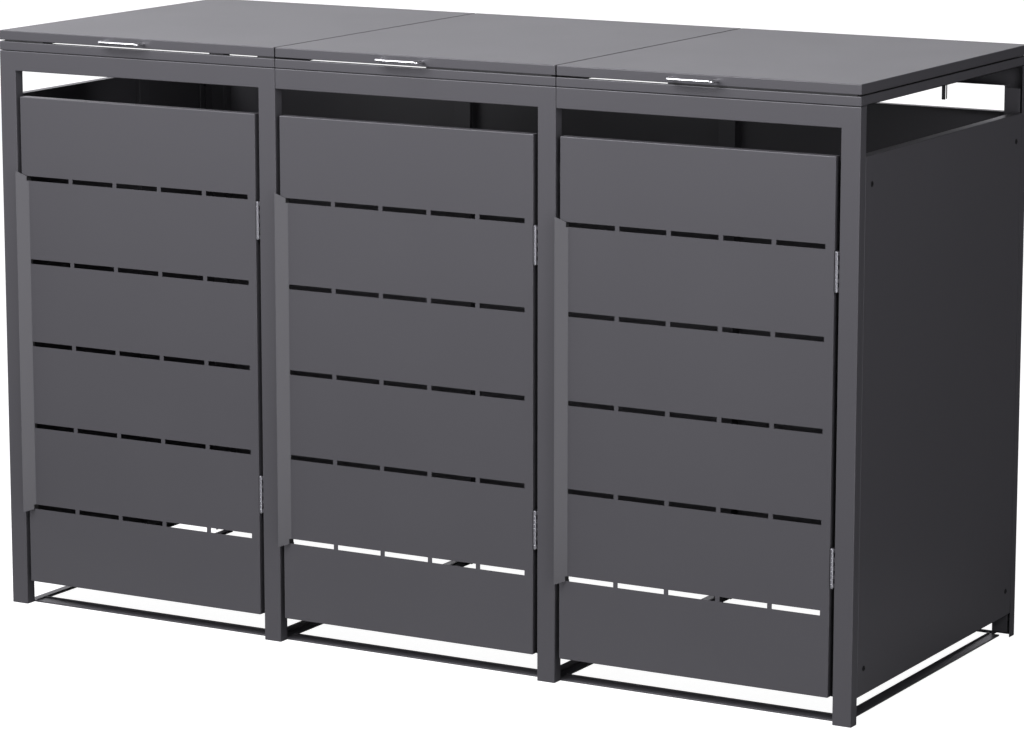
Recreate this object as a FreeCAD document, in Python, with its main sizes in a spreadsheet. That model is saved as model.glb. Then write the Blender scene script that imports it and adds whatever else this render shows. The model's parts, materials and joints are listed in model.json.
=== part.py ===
import FreeCAD, Part
import Sketcher
import os
import re

V = FreeCAD.Vector

doc = FreeCAD.newDocument("WheelieBinStore")

# ---------------------------------------------------------------------------
# Driving dimensions, millimetres and degrees.
# Heights are above the ground. Widths are measured from the outer face of the
# left post, depths from the front face of the posts; x_off and y_off move the
# finished store so that its origin is at the middle of its base.
# ---------------------------------------------------------------------------
DIMS = [
    ("bay_pitch", 650, "post to post, one bay"),
    ("post_w", 40, "face width of a post"),
    ("post_d", 25, "depth of a post's side returns"),
    ("post_top", 1154, "top of the posts, under the headers"),
    ("sheet", 1.5, "sheet thickness"),
    ("store_d", 810, "depth over front and back posts"),
    ("store_w", 1990, "width over the outer posts"),
    ("x_off", -995, "origin shift"),
    ("y_off", -394.3, "origin shift"),
    ("seam", 1.5, "gap between neighbouring headers and rails"),
    ("header_top", 1195.5, "top of the headers"),
    ("rail_bottom", 1196.5, "underside of the top rails"),
    ("rail_top", 1215, "top of the top rails"),
    ("rail_d", 25, "depth of a rail's lower flange"),
    ("rail_lip", 8, "depth of a front or back rail's upper lip"),
    ("side_lip", 24, "depth of a side rail's upper lip"),
    ("lid_bottom", 1218, "lower edge of the lids"),
    ("lid_top", 1238, "top face of the lids"),
    ("lid_gap", 3, "gap between neighbouring lids"),
    ("lid_lip", 14, "inward lip round a lid's lower edge"),
    ("lid_hinge_y", 815, "lid hinge axis"),
    ("lid_hinge_z", 1216.5, "lid hinge axis"),
    ("lid_hinge_in", 150, "middle of a lid hinge from the lid's end"),
    ("door_w", 590, "door width"),
    ("door_d", 20, "door thickness over its returns"),
    ("door_bottom", 52, "lower edge of the doors"),
    ("door_top", 1100, "upper edge of the doors"),
    ("door_gap", 10, "gap at each side of a door"),
    ("door_lip", 12, "inward lip round a door's back"),
    ("slot_len", 102.8, "length of a ventilation slot"),
    ("slot_web", 9.5, "bridge between two slots"),
    ("slot_tall", 10.2, "height of a ventilation slot"),
    ("slot_in", 19, "first slot from the door's left edge"),
    ("slot_top", 928, "height of the upper slot row"),
    ("slot_pitch", 177.5, "height between slot rows"),
    ("slot_rows", 5, "rows of slots"),
    ("grip_w", 28, "developed width of the grip"),
    ("grip_angle", 45, "bend of the grip out of the door"),
    ("grip_flare", 15, "slope of the cuts at the grip's two ends"),
    ("grip_rise", 23, "slope of the grip's upper end"),
    ("grip_drop", 14, "slope of the grip's lower end"),
    ("hinge_len", 77, "length of a hinge"),
    ("hinge_knuckle", 3.4, "knuckle radius"),
    ("hinge_pin", 2.0, "pin radius"),
    ("hinge_bore", 2.05, "bore radius in the moving knuckles"),
    ("hinge_leaf", 1.2, "leaf thickness"),
    ("hinge_leaf_w", 18, "leaf width"),
    ("hinge_high", 843, "lower end of the upper door hinge"),
    ("hinge_low", 270, "lower end of the lower door hinge"),
    ("panel_bottom", 52, "lower edge of side and back panels"),
    ("panel_top", 1100, "upper edge of side and back panels"),
    ("panel_fold", 20, "depth of a panel's folded edges"),
    ("strip_w", 68, "width of a side panel mounting strip"),
    ("strip_t", 3, "thickness of a mounting strip"),
    ("bolt_in", 29, "side panel bolt from the panel's edge"),
    ("bolt_low", 105, "height of the lower side panel bolts"),
    ("bolt_high", 1045, "height of the upper side panel bolts"),
    ("bolt_head", 6, "bolt head radius"),
    ("bolt_shank", 3.0, "bolt shank radius"),
    ("bolt_hole", 3.3, "bolt hole radius"),
    ("rib_y", 490, "front edge of a side panel rib"),
    ("rib_w", 34, "width of a side panel rib"),
    ("rib_d", 12, "depth of a side panel rib"),
    ("floor_t", 3, "thickness of the floor strips"),
    ("floor_lip", 6, "height of a floor strip's inner lip"),
    ("floor_front", 24, "front floor strip from the front face"),
    ("floor_w", 34, "width of the front floor strips"),
    ("floor_back_w", 15, "width of the back floor strips"),
    ("floor_side_w", 24, "width of side and cross floor strips"),
    ("floor_side_in", 23, "side floor strip from the outer face"),
    ("floor_cross_in", 12, "cross floor strips beyond the left of their posts"),
    ("handle_side", 25, "middle of a lid handle left of the lid's middle"),
    ("handle_len", 96, "distance between the legs' axes"),
    ("handle_out", 26, "handle bar axis in front of the lid"),
    ("handle_z", 1228, "height of the handle bar axis"),
    ("handle_r", 3.8, "handle rod radius"),
    ("handle_bend", 8, "bend radius of the rod's axis"),
    ("rest_h", 3, "height of a rubber lid rest"),
    ("rest_w", 7, "depth of a rubber lid rest"),
    ("hook_y", 442, "strap hook from the front face"),
    ("hook_h", 36, "length of a strap hook"),
    ("catch_z", 1005, "lower end of a door catch"),
    ("catch_h", 40, "height of a door catch"),
]
sheet = doc.addObject("Spreadsheet::Sheet", "Params")
sheet.Label = "Params"
sheet.set("A1", "dimension")
sheet.set("B1", "value")
sheet.set("C1", "meaning")
for i, (alias, value, words) in enumerate(DIMS):
    r = str(i + 2)
    sheet.set("A" + r, alias)
    sheet.set("B" + r, str(value))
    sheet.setAlias("B" + r, alias)
    sheet.set("C" + r, words)
doc.recompute()

ALIASES = sorted([d[0] for d in DIMS], key=len, reverse=True)
PATTERN = re.compile(r"\b(" + "|".join(ALIASES) + r")\b")


def ex(e):
    """Expression text with every alias taken from the sheet."""
    return PATTERN.sub(lambda m: "Params." + m.group(1), str(e))


def val(alias):
    return float(sheet.get(alias)) if not hasattr(sheet, alias) else float(getattr(sheet, alias))


made = []


def place(o, x, y, z):
    o.setExpression("Placement.Base.x", ex("x_off + (%s)" % x))
    o.setExpression("Placement.Base.y", ex("y_off + (%s)" % y))
    o.setExpression("Placement.Base.z", ex(z))


def box(name, x, y, z, dx, dy, dz):
    """Box from its low corner and its three sizes, all expressions."""
    o = doc.addObject("Part::Box", name)
    o.Label = name
    o.setExpression("Length", ex(dx))
    o.setExpression("Width", ex(dy))
    o.setExpression("Height", ex(dz))
    place(o, x, y, z)
    return o


AXIS = {"x": FreeCAD.Rotation(V(0, 1, 0), 90), "y": FreeCAD.Rotation(V(1, 0, 0), -90), "z": FreeCAD.Rotation()}


def rod(name, axis, x, y, z, r, length):
    """Cylinder along +x, +y or +z from its base centre."""
    o = doc.addObject("Part::Cylinder", name)
    o.Label = name
    o.Placement = FreeCAD.Placement(V(0, 0, 0), AXIS[axis])
    o.setExpression("Radius", ex(r))
    o.setExpression("Height", ex(length))
    place(o, x, y, z)
    return o


def fuse(name, parts):
    o = doc.addObject("Part::MultiFuse", name)
    o.Label = name
    o.Shapes = parts
    return o


def cut(name, base, tools):
    o = doc.addObject("Part::Cut", name)
    o.Label = name
    o.Base = base
    o.Tool = tools[0] if len(tools) == 1 else fuse(name + "_cuts", tools)
    return o


def group(name, parts):
    """Several separate solids of one kind, kept as one node."""
    o = doc.addObject("Part::Compound", name)
    o.Label = name
    o.Links = parts
    return o


def keep(o):
    made.append(o)
    return o


BAYS = ["left", "middle", "right"]


# left and right ends of what spans one bay and its right-hand post
def bay_lo(k, gap):
    return "0" if k == 0 else "%d*bay_pitch + post_w + (%s)/2" % (k, gap)


def bay_hi(k, gap):
    return "%d*bay_pitch + post_w" % (k + 1) + ("" if k == 2 else " - (%s)/2" % gap)


# ---------------------------------------------------------------------------
# Posts: folded channels. The front posts open to the back and the back posts
# open to the front.
# ---------------------------------------------------------------------------
POSTS = ["left", "mid_left", "mid_right", "right"]
for k, side in enumerate(POSTS):
    x = "%d*bay_pitch" % k
    n = "front_post_" + side
    keep(cut(n, box(n + "_outer", x, "0", "0", "post_w", "post_d", "post_top"),
             [box(n + "_hollow", x + " + sheet", "sheet", "-1", "post_w - 2*sheet", "post_d", "post_top + 2")]))
    n = "back_post_" + side
    keep(cut(n, box(n + "_outer", x, "store_d - post_d", "0", "post_w", "post_d", "post_top"),
             [box(n + "_hollow", x + " + sheet", "store_d - post_d - sheet", "-1", "post_w - 2*sheet", "post_d",
                  "post_top + 2")]))

# ---------------------------------------------------------------------------
# Headers: closed-ended channels on top of the posts, one per bay.
# ---------------------------------------------------------------------------
for k, side in enumerate(BAYS):
    lo, hi = bay_lo(k, "seam"), bay_hi(k, "seam")
    w = "(%s) - (%s)" % (hi, lo)
    n = "front_header_" + side
    keep(cut(n, box(n + "_outer", lo, "0", "post_top", w, "post_d", "header_top - post_top"),
             [box(n + "_hollow", lo + " + sheet", "sheet", "post_top + sheet", w + " - 2*sheet", "post_d",
                  "header_top - post_top - 2*sheet")]))
    n = "back_header_" + side
    keep(cut(n, box(n + "_outer", lo, "store_d - post_d", "post_top", w, "post_d", "header_top - post_top"),
             [box(n + "_hollow", lo + " + sheet", "store_d - post_d - sheet", "post_top + sheet",
                  w + " - 2*sheet", "post_d", "header_top - post_top - 2*sheet")]))

# ---------------------------------------------------------------------------
# Top rails: the frame that the lids close on. Folded section with a wide
# lower flange, an upright web and a narrow upper lip, one per bay at front and
# back, one at each end and one over each inner pair of posts.
# ---------------------------------------------------------------------------
RAIL_H = "rail_top - rail_bottom"
for k, side in enumerate(BAYS):
    lo, hi = bay_lo(k, "seam"), bay_hi(k, "seam")
    w = "(%s) - (%s)" % (hi, lo)
    n = "front_top_rail_" + side
    keep(cut(n, box(n + "_outer", lo, "0", "rail_bottom", w, "rail_d", RAIL_H),
             [box(n + "_hollow", lo + " + sheet", "sheet", "rail_bottom + sheet", w + " - 2*sheet", "rail_d",
                  RAIL_H + " - 2*sheet"),
              box(n + "_open_top", lo + " - 1", "rail_lip", "rail_bottom + sheet", w + " + 2", "rail_d", RAIL_H)]))
    n = "back_top_rail_" + side
    keep(cut(n, box(n + "_outer", lo, "store_d - rail_d", "rail_bottom", w, "rail_d", RAIL_H),
             [box(n + "_hollow", lo + " + sheet", "store_d - rail_d - sheet", "rail_bottom + sheet",
                  w + " - 2*sheet", "rail_d", RAIL_H + " - 2*sheet"),
              box(n + "_open_top", lo + " - 1", "store_d - rail_lip - rail_d", "rail_bottom + sheet", w + " + 2",
                  "rail_d", RAIL_H)]))
# thin packing plates hold the rails a hair above the headers
plates = []
for k in range(3):
    lo, hi = bay_lo(k, "seam"), bay_hi(k, "seam")
    for i, at in enumerate(("(%s) + 60" % lo, "(%s) - 100" % hi)):
        for end, y in (("front", "5"), ("back", "store_d - 21")):
            plates.append(box("rail_plate_%d%s_%s" % (k, "ab"[i], end), at, y, "header_top", "40", "16",
                              "rail_bottom - header_top"))
keep(group("rail_plates", plates))
RAIL_Y, RAIL_LEN = "rail_lip + 1", "store_d - 2*rail_lip - 2"
for side in ("left", "right"):
    n = "side_top_rail_" + side
    # upright web at the outer face, wide flanges towards the inside, its
    # lower flange resting on the front and back rails' lower flanges
    wx = "0" if side == "left" else "store_w - sheet"
    fx = "0" if side == "left" else "store_w - side_lip"
    keep(fuse(n, [
        box(n + "_web", wx, RAIL_Y, "rail_bottom + sheet", "sheet", RAIL_LEN, RAIL_H + " - sheet"),
        box(n + "_lip", fx, RAIL_Y, "rail_top - sheet", "side_lip", RAIL_LEN, "sheet"),
        box(n + "_flange", "0" if side == "left" else "store_w - rail_d", RAIL_Y, "rail_bottom + sheet",
            "rail_d", RAIL_LEN, "sheet"),
        box(n + "_skirt", wx, "rail_d + 0.5", "rail_bottom", "sheet", "store_d - 2*rail_d - 1", "2*sheet"),
    ]))
cross = []
for k in (1, 2):
    n = "cross_top_rail_%d" % k
    x = "%d*bay_pitch" % k
    cross.append(cut(n, box(n + "_outer", x + " + 4", RAIL_Y, "rail_bottom + sheet", "post_w - 8", RAIL_LEN,
                            RAIL_H + " - sheet"),
                     [box(n + "_hollow", x + " + 4 + sheet", "0", "rail_bottom + 2*sheet", "post_w - 8 - 2*sheet",
                          "store_d", RAIL_H)]))
keep(group("cross_top_rails", cross))

# ---------------------------------------------------------------------------
# Side panels: flat sheets folded inwards along the top and bottom, each bolted
# to two upright mounting strips that reach out of the posts behind it, and
# stiffened by an upright folded rib.
# ---------------------------------------------------------------------------
PANEL_Y, PANEL_LEN = "post_d + 0.5", "store_d - 2*post_d - 1"
PANEL_H = "panel_top - panel_bottom"
BOLT_YS = {"front": "post_d + bolt_in", "back": "store_d - post_d - bolt_in"}
strips, bolts, ribs = [], [], []
for side in ("left", "right"):
    left = side == "left"
    face = "0" if left else "store_w - sheet"
    fold = "0" if left else "store_w - panel_fold"
    tag = side[0]
    n = "side_panel_" + side
    holes = []
    for end, by in BOLT_YS.items():
        for lev, bz in (("low", "bolt_low"), ("high", "bolt_high")):
            hx = "-5" if left else "store_w - 15"
            holes.append((end, lev, by, bz, hx))
    body = fuse(n + "_sheet", [
        box(n + "_face", face, PANEL_Y, "panel_bottom", "sheet", PANEL_LEN, PANEL_H),
        box(n + "_top_fold", fold, PANEL_Y, "panel_top - sheet", "panel_fold", PANEL_LEN, "sheet"),
        box(n + "_low_fold", fold, PANEL_Y, "panel_bottom", "panel_fold", PANEL_LEN, "sheet"),
    ])
    keep(cut(n, body, [rod("%s_hole_%s_%s" % (n, e, l), "x", hx, by, bz, "bolt_hole", "20")
                       for e, l, by, bz, hx in holes]))
    for end in ("front", "back"):
        m = "strip_%s_%s" % (tag, end)
        sx = "sheet" if left else "store_w - sheet - strip_t"
        sy = "sheet" if end == "front" else "store_d - sheet - strip_w"
        blank = box(m + "_bar", sx, sy, "panel_bottom + 8", "strip_t", "strip_w", PANEL_H + " - 16")
        strips.append(cut(m, blank, [rod("%s_hole_%s" % (m, l), "x", hx, by, bz, "bolt_shank + 0.05", "20")
                                     for e, l, by, bz, hx in holes if e == end]))
    for e, l, by, bz, hx in holes:
        m = "bolt_%s_%s_%s" % (tag, e, l)
        # low dome-like head outside, shank through the panel and the strip
        if left:
            parts = [rod(m + "_head", "x", "-3", by, bz, "bolt_head", "3"),
                     rod(m + "_shank", "x", "-1", by, bz, "bolt_shank", "sheet + strip_t + 4")]
            sock = rod(m + "_socket", "x", "-4", by, bz, "2.3", "3")
        else:
            parts = [rod(m + "_head", "x", "store_w", by, bz, "bolt_head", "3"),
                     rod(m + "_shank", "x", "store_w - sheet - strip_t - 3", by, bz, "bolt_shank",
                         "sheet + strip_t + 4")]
            sock = rod(m + "_socket", "x", "store_w + 1", by, bz, "2.3", "3")
        bolts.append(cut(m, fuse(m + "_solid", parts), [sock]))
    m = "rib_" + tag
    rx = "sheet" if left else "store_w - sheet - rib_d"
    ox = "sheet - 1" if left else "store_w - sheet - rib_d + sheet"
    ribs.append(cut(m, box(m + "_outer", rx, "rib_y", "panel_bottom + 4", "rib_d", "rib_w", PANEL_H + " - 8"),
                    [box(m + "_hollow", ox, "rib_y + sheet", "panel_bottom", "rib_d - sheet + 1"
                         if left else "rib_d + 1", "rib_w - 2*sheet", PANEL_H)]))
keep(group("side_panel_strips", strips))
keep(group("side_panel_bolts", bolts))
keep(group("side_panel_ribs", ribs))

# ---------------------------------------------------------------------------
# Back panels: trays between the back posts, all four edges folded inwards.
# ---------------------------------------------------------------------------
for k, side in enumerate(BAYS):
    n = "back_panel_" + side
    lo = "%d*bay_pitch + post_w" % k
    w = "bay_pitch - post_w"
    y0 = "store_d - panel_fold"
    keep(cut(n, box(n + "_outer", lo, y0, "panel_bottom", w, "panel_fold", PANEL_H),
             [box(n + "_hollow", lo + " + sheet", y0 + " - sheet", "panel_bottom + sheet", w + " - 2*sheet",
                  "panel_fold", PANEL_H + " - 2*sheet")]))

# ---------------------------------------------------------------------------
# Floor strips: low angle bars on the ground that tie the posts together. The
# front and back strips carry a low lip along their inner edge. The back strips
# lie between the back posts, under the back panels.
# ---------------------------------------------------------------------------
ff, fb, fs, fc = [], [], [], []
for k in range(3):
    if k == 0:
        lo, w = "floor_side_in + floor_side_w", "bay_pitch - floor_side_in - floor_side_w - floor_cross_in"
    elif k == 1:
        lo, w = "bay_pitch - floor_cross_in + 2*floor_side_w + 1", "bay_pitch - 2*floor_side_w - 1"
    else:
        lo = "2*bay_pitch - floor_cross_in + 2*floor_side_w + 1"
        w = "store_w - floor_side_in - floor_side_w - (%s)" % lo
    n = "floor_front_%d" % k
    ff.append(fuse(n, [box(n + "_flat", lo, "floor_front", "0", w, "floor_w", "floor_t"),
                       box(n + "_lip", lo, "floor_front + floor_w - 2", "0", w, "2", "floor_lip")]))
    n = "floor_back_%d" % k
    lo, w, y = "%d*bay_pitch + post_w" % k, "bay_pitch - post_w", "store_d - floor_back_w"
    fb.append(fuse(n, [box(n + "_flat", lo, y, "0", w, "floor_back_w", "floor_t"),
                       box(n + "_lip", lo, y, "0", w, "2", "floor_lip")]))
# side and cross strips pass the ends of the front strips and stop at the back
# posts, and the right-hand one of each cross pair runs on into its post
side_y, side_len = "post_d", "store_d - 2*post_d"


def side_strip(n, x, lip_right, length=side_len):
    lip = x + " + floor_side_w - 2" if lip_right else x
    return fuse(n, [box(n + "_flat", x, side_y, "0", "floor_side_w", length, "floor_t"),
                    box(n + "_lip", lip, side_y, "0", "2", length, "floor_lip")])


fs.append(side_strip("floor_side_0", "floor_side_in", True))
fs.append(side_strip("floor_side_1", "store_w - floor_side_in - floor_side_w", False))
for k in (1, 2):
    at = "%d*bay_pitch - floor_cross_in" % k
    fc.append(side_strip("floor_cross_%da" % k, at, True))
    fc.append(side_strip("floor_cross_%db" % k, at + " + floor_side_w + 1", False, "store_d - post_d - sheet"))
keep(group("front_floor_strips", ff))
keep(group("back_floor_strips", fb))
keep(group("side_floor_strips", fs))
keep(group("cross_floor_strips", fc))

# ---------------------------------------------------------------------------
# Foot bolts: one through the web of each back post, low down.
# ---------------------------------------------------------------------------
fbolt = []
for k in range(4):
    m = "foot_bolt_%d" % k
    bx = "%d*bay_pitch + post_w/2" % k
    fbolt.append(fuse(m, [rod(m + "_head", "y", bx, "store_d - sheet - 5", "34", "bolt_head", "5"),
                          rod(m + "_washer", "y", bx, "store_d - sheet - 1.2", "34", "bolt_head + 2.5", "1.2")]))
keep(group("foot_bolts", fbolt))


# ---------------------------------------------------------------------------
# Doors: one folded sheet each, made as bodies with sketches. The local origin
# is the door's lower left front corner.
# ---------------------------------------------------------------------------
def plane(body, role):
    return [f for f in body.Origin.OriginFeatures if f.Role == role][0]


def attach(sk, body, role):
    sk.AttachmentSupport = [(plane(body, role), "")]
    sk.MapMode = "FlatFace"


def rect(sk, x, z, w, h, tag, vals):
    """Rectangle with its low corner at x, z, fully held by named dimensions."""
    g = sk.GeometryCount
    x0, z0, w0, h0 = vals
    p = [V(x0, z0, 0), V(x0 + w0, z0, 0), V(x0 + w0, z0 + h0, 0), V(x0, z0 + h0, 0)]
    for i in range(4):
        sk.addGeometry(Part.LineSegment(p[i], p[(i + 1) % 4]), False)
    for i in range(4):
        sk.addConstraint(Sketcher.Constraint("Coincident", g + i, 2, g + (i + 1) % 4, 1))
    sk.addConstraint(Sketcher.Constraint("Horizontal", g))
    sk.addConstraint(Sketcher.Constraint("Horizontal", g + 2))
    sk.addConstraint(Sketcher.Constraint("Vertical", g + 1))
    sk.addConstraint(Sketcher.Constraint("Vertical", g + 3))
    for kind, args, label, e in (
            ("DistanceX", (g, 1, g, 2, w0), "w", w),
            ("DistanceY", (g + 1, 1, g + 1, 2, h0), "h", h),
            ("DistanceX", (-1, 1, g, 1, x0), "x", x),
            ("DistanceY", (-1, 1, g, 1, z0), "z", z)):
        if label in ("x", "z") and e == "0":
            continue
        c = sk.addConstraint(Sketcher.Constraint(kind, *args))
        sk.renameConstraint(c, tag + "_" + label)
        sk.setExpression("Constraints." + tag + "_" + label, ex(e))
    if x == "0" and z == "0":
        sk.addConstraint(Sketcher.Constraint("Coincident", g, 1, -1, 1))
    elif x == "0":
        sk.addConstraint(Sketcher.Constraint("PointOnObject", g, 1, -2))
    elif z == "0":
        sk.addConstraint(Sketcher.Constraint("PointOnObject", g, 1, -1))


def make_door(k, side):
    n = "door_" + side
    body = doc.addObject("PartDesign::Body", n)
    body.Label = n
    # plate: the full outside of the folded sheet
    sk = body.newObject("Sketcher::SketchObject", n + "_outline")
    attach(sk, body, "XZ_Plane")
    rect(sk, "0", "0", "door_w", "door_top - door_bottom", "plate", (0, 0, 590, 1048))
    pad = body.newObject("PartDesign::Pad", n + "_plate")
    pad.Profile = sk
    pad.Reversed = True
    pad.setExpression("Length", ex("door_d"))
    doc.recompute()
    # inside of the fold and the opening between the back lips
    inner = body.newObject("PartDesign::SubtractiveBox", n + "_inside")
    inner.setExpression("Length", ex("door_w - 2*sheet"))
    inner.setExpression("Width", ex("door_d - 2*sheet"))
    inner.setExpression("Height", ex("door_top - door_bottom - 2*sheet"))
    for a in "xyz":
        inner.setExpression("Placement.Base." + a, ex("sheet"))
    doc.recompute()
    back = body.newObject("PartDesign::SubtractiveBox", n + "_back_opening")
    back.setExpression("Length", ex("door_w - 2*door_lip"))
    back.setExpression("Width", ex("door_d"))
    back.setExpression("Height", ex("door_top - door_bottom - 2*door_lip"))
    back.setExpression("Placement.Base.x", ex("door_lip"))
    back.setExpression("Placement.Base.y", ex("door_d/2"))
    back.setExpression("Placement.Base.z", ex("door_lip"))
    doc.recompute()
    # one row of ventilation slots, repeated downwards
    sk = body.newObject("Sketcher::SketchObject", n + "_slot_row")
    attach(sk, body, "XZ_Plane")
    for i in range(5):
        rect(sk, "slot_in + %d*(slot_len + slot_web)" % i, "slot_top - door_bottom - slot_tall/2", "slot_len",
             "slot_tall", "slot%d" % i, (19 + i * 112.3, 871.5, 102.8, 9))
    row = body.newObject("PartDesign::Pocket", n + "_slots")
    row.Profile = sk
    row.Midplane = True
    row.Length = 8
    doc.recompute()
    rows = body.newObject("PartDesign::LinearPattern", n + "_slot_rows")
    rows.Originals = [row]
    rows.Direction = (sk, ["V_Axis"])
    rows.Reversed = True
    rows.setExpression("Length", ex("slot_pitch*(slot_rows - 1)"))
    rows.Occurrences = 5
    body.Tip = rows
    doc.recompute()
    # the left edge between the outer rows is cut free from the door
    sk = body.newObject("Sketcher::SketchObject", n + "_grip_cut_outline")
    attach(sk, body, "XZ_Plane")
    zt, zb = 876.0, 166.0
    p = [V(-6, zb - 19.5, 0), V(19, zb, 0), V(19, zt, 0), V(-6, zt + 19.5, 0)]
    for i in range(4):
        sk.addGeometry(Part.LineSegment(p[i], p[(i + 1) % 4]), False)
    for i in range(4):
        sk.addConstraint(Sketcher.Constraint("Coincident", i, 2, (i + 1) % 4, 1))
    sk.addConstraint(Sketcher.Constraint("Vertical", 1))
    sk.addConstraint(Sketcher.Constraint("Vertical", 3))
    for kind, args, label, e in (
            ("DistanceX", (-1, 1, 0, 2, 19), "fold_x", "slot_in"),
            ("DistanceY", (-1, 1, 0, 2, zb), "low_z", "slot_top - slot_pitch*(slot_rows - 1) - door_bottom"),
            ("DistanceY", (0, 2, 1, 2, zt - zb), "span", "slot_pitch*(slot_rows - 1)"),
            ("DistanceX", (0, 1, 0, 2, 25), "reach", "slot_in + 6"),
            ("DistanceY", (0, 1, 0, 2, 19.5), "low_slope", "grip_flare*1.3"),
            ("DistanceY", (1, 2, 2, 2, 19.5), "high_slope", "grip_flare*1.3")):
        c = sk.addConstraint(Sketcher.Constraint(kind, *args))
        sk.renameConstraint(c, label)
        sk.setExpression("Constraints." + label, ex(e))
    gcut = body.newObject("PartDesign::Pocket", n + "_grip_cut")
    gcut.Profile = sk
    gcut.Midplane = True
    gcut.Length = 60
    doc.recompute()
    # the grip: the freed edge bent out towards the front, its ends sloping
    sk = body.newObject("Sketcher::SketchObject", n + "_grip_outline")
    attach(sk, body, "XZ_Plane")
    a = val("grip_angle")
    sk.AttachmentOffset = FreeCAD.Placement(V(val("slot_in"), 0, 0), FreeCAD.Rotation(V(0, 1, 0), a))
    sk.setExpression("AttachmentOffset.Base.x", ex("slot_in"))
    sk.setExpression("AttachmentOffset.Rotation.Angle", ex("grip_angle"))
    # the fold ends just short of the outer slots and runs a little into the plate
    zb, zt = zb + 5.5, zt - 5.5
    p = [V(-28, zb - 14, 0), V(0, zb, 0), V(1, zb, 0), V(1, zt, 0), V(0, zt, 0), V(-28, zt + 23, 0)]
    for i in range(6):
        sk.addGeometry(Part.LineSegment(p[i], p[(i + 1) % 6]), False)
    for i in range(6):
        sk.addConstraint(Sketcher.Constraint("Coincident", i, 2, (i + 1) % 6, 1))
    sk.addConstraint(Sketcher.Constraint("PointOnObject", 0, 2, -2))
    sk.addConstraint(Sketcher.Constraint("PointOnObject", 3, 2, -2))
    sk.addConstraint(Sketcher.Constraint("Horizontal", 1))
    sk.addConstraint(Sketcher.Constraint("Vertical", 2))
    sk.addConstraint(Sketcher.Constraint("Horizontal", 3))
    sk.addConstraint(Sketcher.Constraint("Vertical", 5))
    for kind, args, label, e in (
            ("DistanceY", (-1, 1, 0, 2, zb),
             "low_z", "slot_top - slot_pitch*(slot_rows - 1) - door_bottom + slot_tall/2 + 1"),
            ("DistanceY", (2, 1, 2, 2, zt - zb), "span", "slot_pitch*(slot_rows - 1) - slot_tall - 2"),
            ("DistanceX", (1, 1, 1, 2, 1), "root", "sheet*2/3"),
            ("DistanceX", (0, 1, 0, 2, 28), "width", "grip_w"),
            ("DistanceY", (0, 1, 0, 2, 14), "low_slope", "grip_drop"),
            ("DistanceY", (4, 1, 4, 2, 23), "high_slope", "grip_rise")):
        c = sk.addConstraint(Sketcher.Constraint(kind, *args))
        sk.renameConstraint(c, label)
        sk.setExpression("Constraints." + label, ex(e))
    grip = body.newObject("PartDesign::Pad", n + "_grip")
    grip.Profile = sk
    grip.Reversed = True
    grip.setExpression("Length", ex("sheet"))
    body.Tip = grip
    place(body, "%d*bay_pitch + post_w + door_gap" % k, "0", "door_bottom")
    doc.recompute()
    return body


for k, side in enumerate(BAYS):
    keep(make_door(k, side))

# ---------------------------------------------------------------------------
# Door hinges: nine knuckles on a pin in the gap at each door's right edge. Every
# other one, from the first, belongs to the frame leaf, the rest to the door
# leaf. Both leaves lie against the upright returns.
# ---------------------------------------------------------------------------
LEVELS = (("low", "hinge_low"), ("high", "hinge_high"))
frame_leaves, pins = [], []
PITCH = "hinge_len/9"
ODD, EVEN = (0, 2, 4, 6, 8), (1, 3, 5, 7)
for k, side in enumerate(BAYS):
    px = "%d*bay_pitch - door_gap/2" % (k + 1)
    door_leaves = []
    for lev, z0 in LEVELS:
        for who in ("frame", "door"):
            n = "%s_leaf_%s_%s" % (who, side, lev)
            if who == "frame":
                flat_x, web_x = "%s + door_gap/2 - hinge_leaf" % px, px
                slots, bore = ODD, "hinge_pin"
            else:
                flat_x, web_x = "%s - door_gap/2" % px, "%s - door_gap/2" % px
                slots, bore = EVEN, "hinge_bore"
            parts = [box(n + "_flat", flat_x, "-0.8", z0, "hinge_leaf", "hinge_leaf_w + 0.8", "hinge_len")]
            for s in slots:
                zs = "%s + %d*%s + 0.2" % (z0, s, PITCH)
                parts.append(rod("%s_knuckle%d" % (n, s), "z", px, "0", zs, "hinge_knuckle", PITCH + " - 0.4"))
                parts.append(box("%s_root%d" % (n, s), web_x, "-0.8", zs, "door_gap/2", "1.6", PITCH + " - 0.4"))
            leaf = cut(n, fuse(n + "_solid", parts), [rod(n + "_bore", "z", px, "0", z0 + " - 1", bore, "hinge_len + 2")])
            (frame_leaves if who == "frame" else door_leaves).append(leaf)
        m = "door_pin_%s_%s" % (side, lev)
        pins.append(rod(m, "z", px, "0", z0 + " + 0.2", "hinge_pin", "hinge_len - 0.4"))
    keep(group("door_hinge_leaves_" + side, door_leaves))
keep(group("frame_hinge_leaves", frame_leaves))
keep(group("door_hinge_pins", pins))

# ---------------------------------------------------------------------------
# Door catches: a bracket on the post beside each door's free edge carries a
# magnet that holds the door's back lip.
# ---------------------------------------------------------------------------
brackets, magnets = [], []
for k in range(3):
    x = "%d*bay_pitch + post_w" % k
    n = "catch_bracket_%d" % k
    brackets.append(fuse(n, [
        box(n + "_foot", x, "door_d + 3.5 - 6", "catch_z", "sheet", "6", "catch_h"),
        box(n + "_arm", x, "door_d + 3.5", "catch_z", "door_gap + 14", "sheet", "catch_h")]))
    magnets.append(box("catch_magnet_%d" % k, x + " + door_gap + 1", "door_d + 0.3", "catch_z + 6", "10", "3.2",
                       "catch_h - 12"))
keep(group("catch_brackets", brackets))
keep(group("catch_magnets", magnets))

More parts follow.
